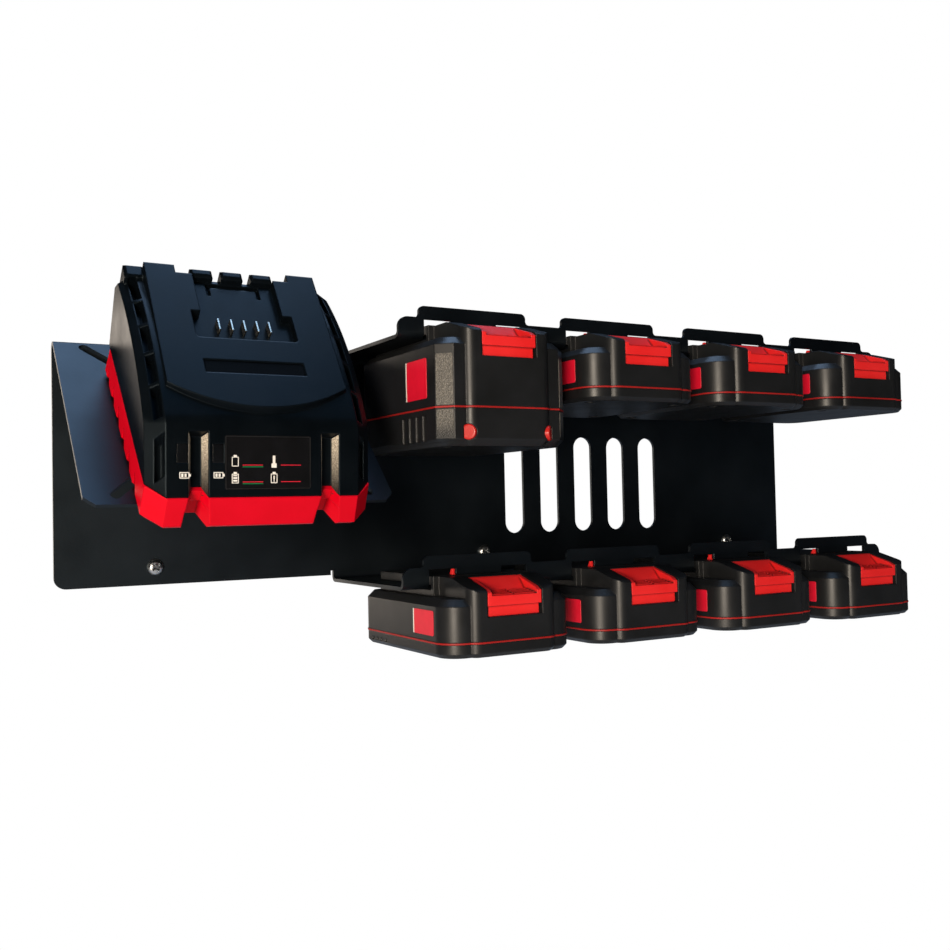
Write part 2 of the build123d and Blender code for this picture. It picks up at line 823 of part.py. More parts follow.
def make_top_case(seam, tall):
    """Top half of the case: body, rails, front block, button pocket and terminal slots."""
    with BuildPart() as block:
        with BuildSketch(Plane.XY.offset(seam + seam_height / 2)):
            add(block_outline(0))
        extrude(amount=rail_top - seam)
        with BuildSketch(Plane.YZ):
            with BuildLine():
                Polyline(
                    (-collar_back, seam + seam_height / 2),
                    (-collar_back, slope_top),
                    (-slope_start, slope_top),
                    (-block_front + block_top_edge, slope_end + block_top_edge / 2),
                    (-block_front, slope_end - block_top_edge / 2),
                    (-block_front, seam + seam_height / 2),
                    close=True,
                )
            make_face()
        extrude(amount=block_half, both=True, mode=Mode.INTERSECT)
    with BuildPart() as case:
        with BuildSketch(Plane.XY.offset(seam + seam_height / 2)):
            add(body_outline(0, tall))
        extrude(amount=shoulder - seam - seam_height / 2)
        chamfer(case.faces().sort_by(Axis.Z)[-1].edges(), length=shoulder_chamfer)
        with BuildSketch(Plane.XY.offset(shoulder - shoulder_chamfer)):
            with Locations((0, -collar_front)):
                Rectangle(2 * rail_half, collar_front - rail_back, align=(Align.CENTER, Align.MIN))
        extrude(amount=rail_top - shoulder + shoulder_chamfer)
        with BuildSketch(Plane.XY.offset(-sheet - groove_clear)):
            for side in (-1, 1):
                with Locations((side * rail_half, -collar_back)):
                    Rectangle(
                        2 * (rail_half - neck_half), collar_back - rail_back, align=(Align.CENTER, Align.MIN)
                    )
        extrude(amount=sheet + 2 * groove_clear, mode=Mode.SUBTRACT)
        add(block.part)
        with BuildSketch(Plane.XY.offset(seam + seam_height / 2)):
            add(body_outline(pack_wall, tall))
        extrude(amount=shoulder - case_roof - seam - seam_height / 2, mode=Mode.SUBTRACT)
        with BuildSketch(Plane.XY.offset(chamber_low)):
            with Locations((0, -chamber_front)):
                Rectangle(
                    2 * pocket_half,
                    chamber_front - button_rear + button_clear,
                    align=(Align.CENTER, Align.MIN),
                )
        extrude(amount=rail_top - chamber_low, mode=Mode.SUBTRACT)
        with BuildSketch(Plane.XZ.offset(block_front)):
            with Locations((0, pocket_low)):
                Rectangle(2 * pocket_half, rail_top - pocket_low, align=(Align.CENTER, Align.MIN))
        extrude(amount=-2 * front_wall, mode=Mode.SUBTRACT)
        with BuildSketch(Plane.XY.offset(arm_low - press_travel - channel_clear)):
            with Locations((0, -button_rear)):
                Rectangle(
                    2 * (hook_half + channel_clear),
                    button_rear - hook_back + hook_slot_clear,
                    align=(Align.CENTER, Align.MIN),
                )
        extrude(amount=arm_top - arm_low + press_travel + 2 * channel_clear, mode=Mode.SUBTRACT)
        with BuildSketch(Plane.XY.offset(arm_low)):
            with Locations((0, -hook_front - hook_slot_clear)):
                Rectangle(
                    2 * (hook_half + channel_clear),
                    hook_front - hook_back + 2 * hook_slot_clear,
                    align=(Align.CENTER, Align.MIN),
                )
        extrude(amount=rail_top, mode=Mode.SUBTRACT)
        with BuildSketch(Plane.XY.offset(clip_slot_low)):
            with Locations((0, -rail_back - clip_slot_length / 2)):
                with GridLocations(blade_pitch, clip_slot_length, blade_count, 1):
                    Rectangle(clip_slot, clip_slot_length)
        extrude(amount=rail_top, mode=Mode.SUBTRACT)
    return case.part


def bumper_plane(side):
    """Plane on a rounded front edge of the block, facing out at half a right angle."""
    inset = block_edge * (1 - cos(radians(45)))
    edge = Vector(side * (block_half - inset), -block_front + inset, bumper_level)
    return Plane(origin=edge, x_dir=(0, 0, 1), z_dir=(side, -1, 0))


def make_tray(seam, floor, ribs, tall):
    """Lower half of the case with a bevelled bottom edge and short grooves in its sides."""
    start, pitch, width = ribs
    rib_rise = seam - seam_height - floor - 2 * rib_margin
    with BuildPart() as tray:
        with BuildSketch(Plane.XY.offset(floor)):
            add(body_outline(0, tall))
            add(block_outline(0))
        extrude(amount=seam - seam_height / 2 - floor)
        chamfer(tray.faces().sort_by(Axis.Z)[0].edges(), length=tray_edge_tall if tall else tray_edge_low)
        with BuildSketch(Plane.XY.offset(floor)):
            for row in (screw_seat_rear, screw_seat_front):
                with Locations((-screw_seat_x, -row), (screw_seat_x, -row)):
                    Circle(screw_seat)
        extrude(amount=screw_seat_depth, mode=Mode.SUBTRACT)
        with BuildSketch(Plane.XY.offset(floor + tray_floor)):
            add(body_outline(pack_wall, tall))
        extrude(amount=seam - floor, mode=Mode.SUBTRACT)
        for side in (-1, 1):
            with BuildSketch(Plane.YZ.offset(side * pack_width / 2)):
                for n in range(rib_count):
                    with Locations((-(start + n * pitch), floor + rib_margin)):
                        Rectangle(width, rib_rise, align=(Align.CENTER, Align.MIN))
            extrude(amount=-side * rib_depth, mode=Mode.SUBTRACT)
            if tall:
                with BuildSketch(bumper_plane(side).offset(bumper_proud)):
                    Circle(bumper_radius)
                extrude(amount=-bumper_proud - bumper_depth, mode=Mode.SUBTRACT)
    return tray.part


def make_seam_band(seam, tall):
    """Thin band squeezed between the two halves, slightly proud all round."""
    with BuildPart() as band:
        with BuildSketch(Plane.XY.offset(seam - seam_height / 2)):
            add(body_outline(-seam_proud, tall))
            add(block_outline(seam_proud))
            add(body_outline(pack_wall, tall), mode=Mode.SUBTRACT)
        extrude(amount=seam_height)
    return band.part


def make_cells(floor, layers):
    """Lithium cells lying across the battery on the tray's floor."""
    with BuildPart() as cells:
        with BuildSketch(Plane.YZ.offset(-cell_length / 2)):
            for layer in range(layers):
                level = floor + tray_floor + cell_seat + cell_radius + layer * cell_pitch
                with Locations(*[(-(cell_first + n * cell_pitch), level) for n in range(cell_count)]):
                    Circle(cell_radius)
        extrude(amount=cell_length)
    return cells.part


# Release button: sloping cap with a finger scoop, front skirt, latch arm and hook
with BuildPart() as release_button:
    with BuildSketch(Plane.YZ):
        with BuildLine():
            Polyline(
                (-button_rear, button_rear_low),
                (-button_rear, button_rear_top),
                (-button_rim_end, button_rim_low),
                (-button_front, button_front_top),
                (-button_front, button_front_low),
                (-button_front + button_lip_depth, button_front_low),
                (-button_front + button_lip_depth, button_under),
                (-button_under_start, button_under),
                close=True,
            )
        make_face()
    extrude(amount=button_half, both=True)
    with BuildSketch(Plane.YZ):
        with BuildLine():
            Polyline(
                (-scoop_start, button_rear_top),
                (-scoop_floor_start, scoop_floor),
                (-button_front, scoop_front),
                (-button_front, scoop_clear),
                (-scoop_start, scoop_clear),
                close=True,
            )
        make_face()
    extrude(amount=scoop_half, both=True, mode=Mode.SUBTRACT)
    with BuildSketch(Plane.YZ):
        for n in range(scoop_ribs):
            rib_place = scoop_floor_start + (n + 1) * scoop_rib_pitch
            with Locations((-rib_place, scoop_front - scoop_rib_height)):
                Rectangle(
                    scoop_rib_width,
                    scoop_floor - scoop_front + 2 * scoop_rib_height - n * scoop_rib_height / 2,
                    align=(Align.CENTER, Align.MIN),
                )
    extrude(amount=scoop_half, both=True)
    with BuildSketch(Plane.YZ):
        with BuildLine():
            Polyline(
                (-scoop_floor_start, scoop_floor),
                (-button_front, scoop_front),
                (-button_front, scoop_clear),
                (-scoop_floor_start, scoop_clear),
                close=True,
            )
        make_face()
    extrude(amount=scoop_rib_gap / 2, both=True, mode=Mode.SUBTRACT)
    with BuildSketch(Plane.XY.offset(skirt_low)):
        with Locations((0, -button_front + skirt_set_back)):
            Rectangle(2 * skirt_half, skirt_thick, align=(Align.CENTER, Align.MIN))
    extrude(amount=button_front_low - skirt_low)
    with BuildSketch(Plane.XY.offset(arm_low)):
        with Locations((0, -button_rear)):
            Rectangle(2 * arm_half, button_rear - hook_back, align=(Align.CENTER, Align.MIN))
    extrude(amount=arm_top - arm_low)
    with BuildSketch(Plane.YZ):
        with BuildLine():
            Polyline(
                (-hook_front, arm_low),
                (-hook_front, hook_top),
                (-hook_tip, hook_top),
                (-hook_back, arm_top),
                (-hook_back, arm_low),
                close=True,
            )
        make_face()
    extrude(amount=hook_half, both=True)

# Contact clips: one bent leaf per terminal slot
with BuildPart() as contact_clips:
    with BuildSketch(Plane.XZ.offset(rail_back + clip_inset)):
        with Locations((0, clip_slot_low)):
            with GridLocations(blade_pitch, clip_height, blade_count, 1):
                Rectangle(clip_outer, clip_height, align=(Align.CENTER, Align.MIN))
        with Locations((0, clip_slot_low + clip_thick)):
            with GridLocations(blade_pitch, clip_height, blade_count, 1):
                Rectangle(
                    clip_outer - 2 * clip_thick,
                    clip_height,
                    align=(Align.CENTER, Align.MIN),
                    mode=Mode.SUBTRACT,
                )
    extrude(amount=clip_length)

# Rubber bumpers plugged into the front edges of the tall battery's tray
with BuildPart() as bumpers:
    for side in (-1, 1):
        with BuildSketch(bumper_plane(side).offset(-bumper_depth)):
            Circle(bumper_radius)
        extrude(amount=bumper_depth + bumper_proud)
        tip = bumpers.faces().filter_by(Axis((0, 0, 0), (side, -1, 0))).sort_by(Axis.Y)[0]
        fillet(tip.edges(), radius=bumper_round)


def place(piece, name, seat):
    """Copy a piece of a battery onto its station."""
    with BuildPart() as placed:
        with Locations(seat):
            add(piece)
    keep(placed.part, name)


low_kind = {
    "top_case": make_top_case(seam_low, False),
    "tray": make_tray(seam_low, floor_low, (rib_start_low, rib_pitch_low, rib_width_low), False),
    "seam_band": make_seam_band(seam_low, False),
    "cells": make_cells(floor_low, 1),
}
tall_kind = {
    "top_case": make_top_case(seam_tall, True),
    "tray": make_tray(seam_tall, floor_tall, (rib_start_tall, rib_pitch_tall, rib_width_tall), True),
    "seam_band": make_seam_band(seam_tall, True),
    "cells": make_cells(floor_tall, 2),
}
seats = [(x, battery_y, upper_z) for x in station_x] + [(x, battery_y, lower_z) for x in station_x]
for number, seat in enumerate(seats, start=1):
    kind = tall_kind if number == 1 else low_kind
    for piece_name, piece in kind.items():
        place(piece, f"battery_{number}_{piece_name}", seat)
    place(release_button.part, f"battery_{number}_release_button", seat)
    place(contact_clips.part, f"battery_{number}_contacts", seat)
place(bumpers.part, "battery_1_bumpers", seats[0])
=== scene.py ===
"""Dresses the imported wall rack: a material for every node, rounded edges, screws, labels and legend."""

import json
import math

import bpy
import numpy as np
from mathutils import Matrix, Vector

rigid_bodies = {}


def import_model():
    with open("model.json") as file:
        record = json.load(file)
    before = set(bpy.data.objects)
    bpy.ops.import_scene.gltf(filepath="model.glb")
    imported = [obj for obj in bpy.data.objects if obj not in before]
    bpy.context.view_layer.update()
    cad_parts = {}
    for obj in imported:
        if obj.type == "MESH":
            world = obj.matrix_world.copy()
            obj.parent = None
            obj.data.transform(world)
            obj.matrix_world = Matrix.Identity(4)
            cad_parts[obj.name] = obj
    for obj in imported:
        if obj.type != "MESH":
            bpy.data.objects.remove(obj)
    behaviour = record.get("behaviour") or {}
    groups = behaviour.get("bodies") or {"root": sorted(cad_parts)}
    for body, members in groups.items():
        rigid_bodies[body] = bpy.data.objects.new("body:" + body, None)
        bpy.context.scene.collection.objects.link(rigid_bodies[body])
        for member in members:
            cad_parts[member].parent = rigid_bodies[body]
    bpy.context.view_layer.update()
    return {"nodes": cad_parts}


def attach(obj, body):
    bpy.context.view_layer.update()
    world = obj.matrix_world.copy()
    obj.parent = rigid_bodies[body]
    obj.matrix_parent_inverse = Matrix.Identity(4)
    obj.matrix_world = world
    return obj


MM = 0.001

for start_up in list(bpy.data.objects):
    bpy.data.objects.remove(start_up)
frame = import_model()
nodes = frame["nodes"]

# Sizes of the rack and its batteries, in millimetres, as the frame holds them
ROW_PITCH = 128.9
STATION_PITCH = 88.9
STATION_FIRST = -57.15
STATION_COUNT = 4
STATIONS = [STATION_FIRST + STATION_PITCH * n for n in range(STATION_COUNT)]
SEATS = [(x, z) for z in (ROW_PITCH / 2, -ROW_PITCH / 2) for x in STATIONS]
PACK_HALF = 37.75
TALL_FLOOR = -59.0
LOW_FLOOR = -34.0
PLATE_FRONT = -1.9
STUD_PITCH = 203.2
SCREW_LEVEL = 53.0
SCREW_PLACES = [(STUD_PITCH * n, -SCREW_LEVEL) for n in (-1, 0, 1)]
SCREW_PLACES += [(STUD_PITCH * n, SCREW_LEVEL) for n in (0, 1)]

# The charger's own frame: u to the right, v down the slope from the fold, h out of the sloping plate
CHARGER_FOOT = np.array([-177.8, -1.622, 68.344])
SLOPE_DOWN = np.array([0.0, -math.sqrt(0.5), -math.sqrt(0.5)])
SLOPE_OUT = np.array([0.0, -math.sqrt(0.5), math.sqrt(0.5)])
RIGHT = np.array([1.0, 0.0, 0.0])
UP = np.array([0.0, 0.0, 1.0])
LABEL_TOP = (115.6, 39.6)
LABEL_FOOT = (137.6, 15.6)


def on_charger(v, h):
    """Point on the charger's middle plane, v down the slope and h out of the plate."""
    return CHARGER_FOOT + v * SLOPE_DOWN + h * SLOPE_OUT


# Colours and shader nodes
WHITE = "#ffffff"
COOL = "#cfe6f5"
# Dark red-brown of the painted shade in crevices
CREVICE_SHADE = "#200605"
LOW, HIGH = 0.3, 0.7  # most of a noise's values lie between these
FINER = 0.55  # strength of each finer octave of a noise
PLASTIC_IOR = 1.5


def srgb(code):
    """Linear colour of an sRGB hex code: the standard curve, a line near black and a 2.4 power above."""
    parts = np.array([int(code[i:i + 2], 16) / 255 for i in (1, 3, 5)])
    lin = np.where(parts <= 0.04045, parts / 12.92, ((parts + 0.055) / 1.055) ** 2.4)
    return (*lin, 1.0)


def per_mm(size):
    """Scale at which a pattern's blotches are size millimetres across."""
    return 1.0 / (size * MM)


def put(tree, kind, settings=None, inputs=None, stops=()):
    """Add one node: its settings, its (place, colour) stops, then each input as a value or a link."""
    made = tree.nodes.new(kind)
    for key, value in (settings or {}).items():
        setattr(made, key, value)
    if stops:
        band = made.color_ramp.elements
        while len(band) < len(stops):
            band.new(0.5)
        for element, (place, code) in zip(band, stops):
            element.position = place
            element.color = srgb(code)
    for key, value in (inputs or {}).items():
        socket = made.inputs[key]
        if isinstance(value, bpy.types.NodeSocket):
            tree.links.new(value, socket)
        else:
            socket.default_value = value
    return made


def begin(name):
    """New material with an empty tree, and its Object coordinates."""
    mat = bpy.data.materials.new(name)
    mat.use_nodes = True
    mat.node_tree.nodes.clear()
    return mat, mat.node_tree, put(mat.node_tree, "ShaderNodeTexCoord").outputs["Object"]


def surface(tree, looks):
    """End a material: a Principled shader with these inputs, on the output."""
    shader = put(tree, "ShaderNodeBsdfPrincipled", inputs=looks)
    put(tree, "ShaderNodeOutputMaterial", inputs={"Surface": shader.outputs["BSDF"]})


def powder_coat():
    """Polyester powder coat baked on steel sheet: satin black with a fine orange peel and a little dust."""
    mat, tree, place = begin("powder_coated_steel_black")
    peel = put(tree, "ShaderNodeTexNoise", inputs={
        "Vector": place, "Scale": per_mm(1.6), "Detail": 2.0, "Roughness": FINER}).outputs["Fac"]
    cloud = put(tree, "ShaderNodeTexNoise", inputs={
        "Vector": place, "Scale": per_mm(38.0), "Detail": 3.0, "Roughness": FINER}).outputs["Fac"]
    dust = put(tree, "ShaderNodeTexNoise", inputs={
        "Vector": place, "Scale": per_mm(0.9), "Detail": 1.0, "Roughness": FINER}).outputs["Fac"]
    tone = put(tree, "ShaderNodeValToRGB", inputs={"Fac": cloud},
               stops=((LOW, "#010204"), (HIGH, "#030509"))).outputs["Color"]
    fleck = put(tree, "ShaderNodeValToRGB", inputs={"Fac": dust},
                stops=((0.74, "#000000"), (0.82, "#101216"))).outputs["Color"]
    dusty = put(tree, "ShaderNodeMix", {"data_type": "RGBA", "blend_type": "ADD"}, {
        0: 0.35, "A": tone, "B": fleck}).outputs["Result"]
    satin = put(tree, "ShaderNodeMapRange", inputs={
        "Value": cloud, "From Min": LOW, "From Max": HIGH, "To Min": 0.4, "To Max": 0.5}).outputs["Result"]
    bumps = put(tree, "ShaderNodeBump", inputs={
        "Height": peel, "Distance": 0.05 * MM, "Strength": 0.5}).outputs["Normal"]
    surface(tree, {"Base Color": dusty, "Roughness": satin, "Normal": bumps, "IOR": PLASTIC_IOR,
                   "Specular IOR Level": 0.55, "Specular Tint": srgb(COOL)})
    return mat


def moulded(name, deep, lit, rough, grain_mm, grain_depth, sheen_mm=22.0, gloss=0.35, edge_mm=0.6,
            crevice_mm=0.0, tint=WHITE):
    """Moulded plastic: spark-eroded grain from the tool, and slow changes of tone and gloss from handling.

    The grain is drawn coarser than the real 0.1 mm so that it shows in the picture. Edges look rounded by
    edge_mm, and corners narrower than crevice_mm get painted shade.
    """
    mat, tree, place = begin(name)
    grain = put(tree, "ShaderNodeTexNoise", inputs={
        "Vector": place, "Scale": per_mm(grain_mm), "Detail": 2.0, "Roughness": FINER}).outputs["Fac"]
    cloud = put(tree, "ShaderNodeTexNoise", inputs={
        "Vector": place, "Scale": per_mm(sheen_mm), "Detail": 3.0, "Roughness": FINER}).outputs["Fac"]
    tone = put(tree, "ShaderNodeValToRGB", inputs={"Fac": cloud},
               stops=((LOW, deep), (HIGH, lit))).outputs["Color"]
    # Painted shade: hollows narrower than crevice_mm are darkened towards a dark red-brown, standing in for
    # the shade in creases and under lips
    if crevice_mm:
        hollow = put(tree, "ShaderNodeAmbientOcclusion", {"samples": 8, "only_local": True}, {
            "Distance": crevice_mm * MM}).outputs["AO"]
        unshaded = put(tree, "ShaderNodeMapRange", inputs={
            "Value": hollow, "From Min": 0.4, "From Max": 0.85}).outputs["Result"]
        tone = put(tree, "ShaderNodeMix", {"data_type": "RGBA"}, {
            0: unshaded, "A": srgb(CREVICE_SHADE), "B": tone}).outputs["Result"]
    worn = put(tree, "ShaderNodeMapRange", inputs={
        "Value": cloud, "From Min": LOW, "From Max": HIGH,
        "To Min": rough - 0.05, "To Max": rough + 0.06}).outputs["Result"]
    edges = put(tree, "ShaderNodeBevel", {"samples": 6}, {"Radius": edge_mm * MM}).outputs["Normal"]
    bumps = put(tree, "ShaderNodeBump", inputs={
        "Height": grain, "Distance": grain_depth * MM, "Strength": 0.6, "Normal": edges}).outputs["Normal"]
    surface(tree, {"Base Color": tone, "Roughness": worn, "Normal": bumps, "IOR": PLASTIC_IOR,
                   "Specular IOR Level": gloss, "Specular Tint": srgb(tint)})
    return mat


def eroded_speckle(name, tones, plain, fade):
    """Coarse spark-eroded plastic: pits and bright grains under 1 mm, on a plain ground; the bright grains
    are painted glints.

    The grains come in smoothly between the two heights of fade, in millimetres.
    """
    mat, tree, place = begin(name)
    pits = put(tree, "ShaderNodeTexVoronoi", {"feature": "F1"}, {
        "Vector": place, "Scale": per_mm(0.75), "Randomness": 1.0}).outputs["Distance"]
    grain = put(tree, "ShaderNodeTexNoise", inputs={
        "Vector": place, "Scale": per_mm(0.7), "Detail": 3.0, "Roughness": 0.7}).outputs["Fac"]
    grains = put(tree, "ShaderNodeValToRGB", inputs={"Fac": grain}, stops=tones).outputs["Color"]
    rise = put(tree, "ShaderNodeSeparateXYZ", inputs={"Vector": place}).outputs["Z"]
    share = put(tree, "ShaderNodeMapRange", {"interpolation_type": "SMOOTHSTEP"}, {
        "Value": rise, "From Min": fade[0] * MM, "From Max": fade[1] * MM}).outputs["Result"]
    tone = put(tree, "ShaderNodeMix", {"data_type": "RGBA"}, {
        0: share, "A": srgb(plain), "B": grains}).outputs["Result"]
    bumps = put(tree, "ShaderNodeBump", inputs={
        "Height": pits, "Distance": 0.25 * MM, "Strength": 0.8}).outputs["Normal"]
    surface(tree, {"Base Color": tone, "Roughness": 0.5, "Normal": bumps})
    return mat


def plated(name, dark, light, rough, streak_mm):
    """Plated metal: bright, with fine drawing marks along X and slight clouding of the plate."""
    mat, tree, place = begin(name)
    drawn = put(tree, "ShaderNodeMapping", inputs={
        "Vector": place, "Scale": (0.12, 1.0, 1.0)}).outputs["Vector"]
    marks = put(tree, "ShaderNodeTexNoise", inputs={
        "Vector": drawn, "Scale": per_mm(streak_mm), "Detail": 2.0, "Roughness": FINER}).outputs["Fac"]
    tone = put(tree, "ShaderNodeValToRGB", inputs={"Fac": marks},
               stops=((LOW, dark), (HIGH, light))).outputs["Color"]
    worn = put(tree, "ShaderNodeMapRange", inputs={
        "Value": marks, "From Min": LOW, "From Max": HIGH,
        "To Min": rough - 0.06, "To Max": rough + 0.08}).outputs["Result"]
    surface(tree, {"Base Color": tone, "Roughness": worn, "Metallic": 1.0})
    return mat


def printed_film(name, deep, lit, rough):
    """Printed polyester film: flat ink under a thin clear face, with very slight ripple."""
    mat, tree, place = begin(name)
    cloud = put(tree, "ShaderNodeTexNoise", inputs={
        "Vector": place, "Scale": per_mm(9.0), "Detail": 2.0, "Roughness": FINER}).outputs["Fac"]
    ink = put(tree, "ShaderNodeValToRGB", inputs={"Fac": cloud},
              stops=((LOW, deep), (HIGH, lit))).outputs["Color"]
    ripple = put(tree, "ShaderNodeBump", inputs={
        "Height": cloud, "Distance": 0.03 * MM, "Strength": 0.4}).outputs["Normal"]
    surface(tree, {"Base Color": ink, "Roughness": rough, "Normal": ripple, "IOR": PLASTIC_IOR})
    return mat


# Rack, powder coat on steel: almost no colour of its own, so it shows the light round it as a cool sheen
COAT = powder_coat()
# Charger shell, ABS with a fine tool texture: deep black with soft, cool highlights
SHELL = moulded("moulded_abs_black", "#04070a", "#070b0f", 0.34, 0.7, 0.04, gloss=0.15, edge_mm=0.9,
                tint=COOL)
# Battery cases and trays, filled nylon: dark grey with bright streaks along the upright corners
CASE = moulded("moulded_nylon_black", "#161718", "#1b1c1e", 0.38, 0.6, 0.04, gloss=0.32, edge_mm=0.8)
# Charger base, ABS: strong red with little gloss and painted shade in its corners
BASE = moulded("moulded_abs_red", "#c90018", "#d4001e", 0.5, 0.8, 0.03, gloss=0.12, edge_mm=0.9,
               crevice_mm=2.0)
# Release buttons, acetal: a lighter red, with painted shade between the ribs and under the lip
BUTTON = moulded("moulded_acetal_red", "#dc2021", "#e62a2b", 0.45, 0.8, 0.03, gloss=0.3, crevice_mm=2.0)
# Bare plate of the deck's recess, ABS left matt: darker than the deck round it
PLATE = moulded("moulded_abs_black_matt", "#020304", "#040506", 0.5, 0.7, 0.03, gloss=0.03)
# Seam bands, elastomer: a thin dull red line round each battery
SEAM = moulded("moulded_elastomer_red", "#8f1512", "#a31c18", 0.5, 0.7, 0.03)
# Bumpers, soft elastomer: smooth red discs with a wet look
BUMPER = moulded("moulded_elastomer_bright_red", "#a81c18", "#bd2520", 0.25, 0.7, 0.03, gloss=0.35)
# Cord gland, rubber: dull charcoal
GLAND = moulded("moulded_rubber_black", "#0d0d0e", "#161617", 0.62, 0.9, 0.08)
# Light windows, smoked polycarbonate: unlit, dark and glossy
WINDOW = moulded("smoked_polycarbonate", "#0a0b0d", "#121417", 0.12, 1.5, 0.01)
# Circuit board under green lacquer, inside the charger
BOARD = moulded("lacquered_circuit_board", "#0b3a1c", "#125228", 0.3, 1.2, 0.05, 6.0)
# Cells in blue shrunk film, inside the batteries
WRAP = moulded("shrunk_pvc_cell_wrap", "#1f5f86", "#2a74a0", 0.3, 3.0, 0.04)
# Front bevels of the tall battery: grey grains, the brightest of them painted glints, that thin out towards
# the foot
SPECKLE = eroded_speckle("spark_eroded_nylon_grey_painted_glints", ((0.3, "#33322f"), (0.5, "#4c4944"), (0.7, "#6f6a61")),
                         "#0e0e0f", (9.5, 21.0))
# Groove walls of the charger: pale grains that are a painted highlight of the low light, painted strongest at
# the top
PAINTED_GROOVE_HIGHLIGHT = eroded_speckle("spark_eroded_abs_painted_highlight", ((0.3, "#6a6358"), (0.5, "#b0a594"), (0.7, "#efe4d1")),
                        "#0a0a0b", (-19.0, 12.0))
# Screws, bolts and nuts: bright zinc, slightly streaked
ZINC = plated("zinc_plated_steel", "#8d9094", "#d9dbdc", 0.28, 1.2)
# Blades and contact clips: warmer tin
TIN = plated("tinned_copper_alloy", "#a9a59a", "#d8d4c8", 0.3, 0.8)
# Transformer core: dull grey steel with the lines of its laminations
CORE = plated("laminated_core_steel", "#4b4a48", "#75726d", 0.5, 0.6)
# Labels and legend: flat ink, each film with its own gloss
FILM_RED = printed_film("printed_film_red", "#d20a2a", "#de0f30", 0.5)
FILM_WHITE = printed_film("printed_film_white", "#dcd9d2", "#ece9e3", 0.35)
FILM_BLACK = printed_film("printed_film_black", "#0b0b0c", "#111113", 0.22)
FILM_GREY = printed_film("printed_film_grey", "#1d1d1e", "#262627", 0.35)
FILM_GREEN = printed_film("printed_film_green", "#12703f", "#188a4e", 0.35)

# Material and edge rounding in millimetres of each node, or of each battery's node after its number
DRESS = {
    "rack": (COAT, 0.2),
    "charger_base": (BASE, 0.6),
    "charger_top_shell": (SHELL, 0.7),
    "charger_light_windows": (WINDOW, 0.2),
    "charger_terminal_blades": (TIN, 0.2),
    "charger_circuit_board": (BOARD, 0.2),
    "charger_transformer": (CORE, 0.4),
    "charger_mount_bolts": (ZINC, 0.4),
    "charger_mount_nuts": (ZINC, 0.3),
    "charger_cord_gland": (GLAND, 0.4),
    "top_case": (CASE, 0.8),
    "tray": (CASE, 0.8),
    "seam_band": (SEAM, 0.15),
    "cells": (WRAP, 0.4),
    "release_button": (BUTTON, 0.4),
    "contacts": (TIN, 0.1),
    "bumpers": (BUMPER, 0.2),
}
SHARP = math.radians(32)
FLAT = math.radians(0.3)
WELD = 1e-6


def smooth_group():
    """Geometry nodes that drop stored normals and shade smooth across every edge flatter than SHARP."""
    group = bpy.data.node_groups.new("smooth_shallow_edges", "GeometryNodeTree")
    group.interface.new_socket("Geometry", in_out="INPUT", socket_type="NodeSocketGeometry")
    group.interface.new_socket("Geometry", in_out="OUTPUT", socket_type="NodeSocketGeometry")
    way_in = put(group, "NodeGroupInput")
    bare = put(group, "GeometryNodeRemoveAttribute", inputs={
        "Geometry": way_in.outputs["Geometry"], "Name": "custom_normal"})
    faces = put(group, "GeometryNodeSetShadeSmooth", {"domain": "FACE"}, {
        "Geometry": bare.outputs["Geometry"], "Shade Smooth": True})
    angle = put(group, "GeometryNodeInputMeshEdgeAngle")
    shallow = put(group, "FunctionNodeCompare", {"data_type": "FLOAT", "operation": "LESS_THAN"}, {
        0: angle.outputs["Unsigned Angle"], 1: SHARP})
    edges = put(group, "GeometryNodeSetShadeSmooth", {"domain": "EDGE"}, {
        "Geometry": faces.outputs["Geometry"], "Shade Smooth": shallow.outputs["Result"]})
    put(group, "NodeGroupOutput", inputs={"Geometry": edges.outputs["Geometry"]})
    return group


SMOOTH = smooth_group()


def dress(node, material, round_mm):
    """Give a node its material and round its sharp edges: weld, join flat faces, bevel, smooth."""
    node.data.materials.clear()
    node.data.materials.append(material)
    weld = node.modifiers.new("weld", "WELD")
    weld.merge_threshold = WELD
    flats = node.modifiers.new("flats", "DECIMATE")
    flats.decimate_type = "DISSOLVE"
    flats.angle_limit = FLAT
    edge = node.modifiers.new("edge", "BEVEL")
    edge.width = round_mm * MM
    edge.segments = 3
    edge.limit_method = "ANGLE"
    edge.angle_limit = SHARP
    edge.use_clamp_overlap = True
    edge.miter_outer = "MITER_ARC"
    finish = node.modifiers.new("smooth", "NODES")
    finish.node_group = SMOOTH
    level = node.modifiers.new("level", "WEIGHTED_NORMAL")
    level.weight = 100
    level.keep_sharp = True


for name, node in nodes.items():
    key = name if name in DRESS else name.split("_", 2)[2]
    dress(node, *DRESS[key])


# New pieces: surfaces worked out as arrays, in millimetres


def piece(name, points, faces, material, body):
    """Mesh object at the origin from points in millimetres, riding on a body."""
    mesh = bpy.data.meshes.new(name)
    mesh.from_pydata((np.asarray(points) * MM).tolist(), [], faces)
    mesh.materials.append(material)
    mesh.shade_smooth()
    mesh.set_sharp_from_angle(angle=SHARP)
    mesh.update()
    made = bpy.data.objects.new(name, mesh)
    bpy.context.scene.collection.objects.link(made)
    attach(made, body)


def grid_faces(rows, cols):
    """Quads between rows of cols points, where the end of each row joins its start."""
    r, c = np.meshgrid(np.arange(rows - 1), np.arange(cols), indexing="ij")
    n = (c + 1) % cols
    quads = np.stack([r * cols + c, r * cols + n, (r + 1) * cols + n, (r + 1) * cols + c], -1)
    return quads.reshape(-1, 4).tolist()


def rounded_outline(width, height, radius, steps=6):
    """Closed outline of a rectangle with round corners: four quarter circles joined by straight sides."""
    quarter = np.linspace(0, math.pi / 2, steps)
    turn = np.concatenate([quarter + k * math.pi / 2 for k in range(4)])
    corner = np.repeat(np.array([[1, 1], [-1, 1], [-1, -1], [1, -1]]), steps, axis=0)
    middle = corner * (np.array([width, height]) / 2 - radius)
    return middle + radius * np.stack([np.cos(turn), np.sin(turn)], 1)


